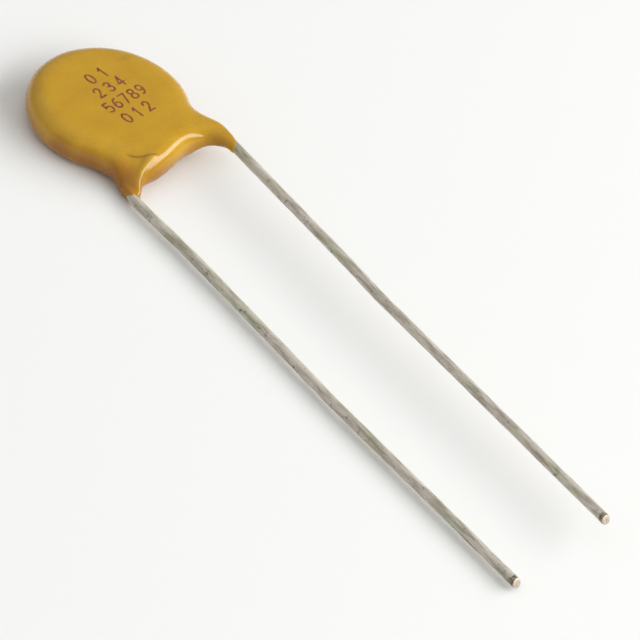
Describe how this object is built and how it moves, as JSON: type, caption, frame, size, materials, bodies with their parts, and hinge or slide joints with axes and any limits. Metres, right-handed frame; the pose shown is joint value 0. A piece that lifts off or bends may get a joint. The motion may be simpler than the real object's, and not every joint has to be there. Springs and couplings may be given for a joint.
{
  "type": "ceramic disc capacitor",
  "caption": "Round dipped ceramic disc with flared coated legs and long straight tinned wire leads; stores charge between its terminals once soldered into a circuit board.",
  "frame": {"origin": "centre of the flat back face of the coated disc, on which the part lies", "axes": "+Z is the disc's normal, from the back face to the front face; the leads run along -Y; +X is to the right with the front face up and the leads towards the viewer"},
  "size_m": [0.0098, 0.0483, 0.0022],
  "materials": {
    "dipped_resin": "gloss",
    "fired_ceramic": "matte",
    "silver_layer": "matte",
    "solder": "satin",
    "tinned_wire": "satin"
  },
  "bodies": {
    "root": {"coating": "dipped_resin", "ceramic_disc": "fired_ceramic", "electrode_front": "silver_layer", "electrode_back": "silver_layer", "solder_front": "solder", "solder_back": "solder", "lead_left": "tinned_wire", "lead_right": "tinned_wire"}
  },
  "joints": []
}
